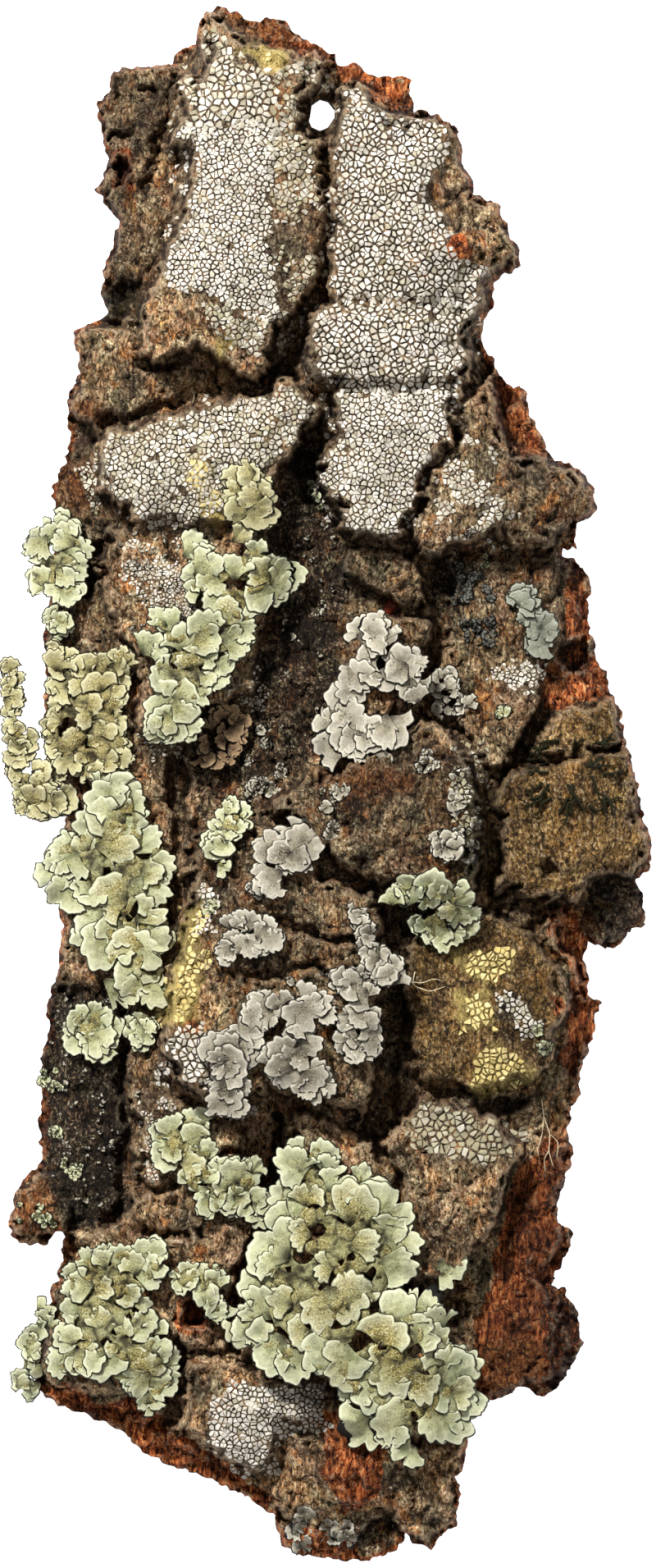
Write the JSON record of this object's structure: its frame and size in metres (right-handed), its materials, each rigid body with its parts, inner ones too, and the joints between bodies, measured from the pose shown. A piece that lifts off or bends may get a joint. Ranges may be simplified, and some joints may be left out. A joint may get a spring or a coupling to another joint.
{
  "type": "cork bark slab",
  "caption": "Flat slab of virgin cork bark with raised plates, deep furrows, a hanging hole and foliose lichens growing over its outer side.",
  "frame": {"origin": "centre of the slab's outline, on the surface that its hollow back lies on", "axes": "+Y along the slab's length towards the end with the hanging hole, +Z out of the lichen-covered outer side"},
  "size_m": [0.159, 0.3812, 0.0446],
  "materials": {
    "cork_bark": "rough, fissured, dry",
    "green_lichen": "matt, leathery",
    "olive_lichen": "matt, granular",
    "grey_lichen": "matt, papery",
    "blue_grey_lichen": "matt, papery",
    "umber_lichen": "matt, leathery"
  },
  "bodies": {
    "root": {"bark": "cork_bark", "green_lichen_upper_left": "green_lichen", "green_lichen_upper_left_tail": "green_lichen", "green_lichen_crown": "olive_lichen", "green_lichen_middle": "green_lichen", "green_lichen_left_upper": "olive_lichen", "green_lichen_left_lower": "green_lichen", "green_lichen_left_hanging": "green_lichen", "green_lichen_left_edge": "green_lichen", "green_lichen_small_tongue": "green_lichen", "green_lichen_lower_middle": "green_lichen", "green_lichen_bottom_right": "green_lichen", "green_lichen_bottom_left": "green_lichen", "green_lichen_bottom_left_flap": "green_lichen", "green_lichen_centre_tuft": "green_lichen", "green_lichen_right_tuft": "green_lichen", "green_lichen_low_tuft": "green_lichen", "grey_lichen_centre": "grey_lichen", "grey_lichen_centre_low": "grey_lichen", "grey_lichen_knoll": "grey_lichen", "grey_lichen_ledge": "grey_lichen", "grey_lichen_dome_left": "grey_lichen", "grey_lichen_dome_right": "grey_lichen", "grey_lichen_dome_edge": "grey_lichen", "grey_lichen_furrow_chips": "grey_lichen", "grey_lichen_slope": "grey_lichen", "blue_grey_lichen_right": "blue_grey_lichen", "grey_squamules_right": "grey_lichen", "umber_rosette": "umber_lichen"}
  },
  "joints": []
}
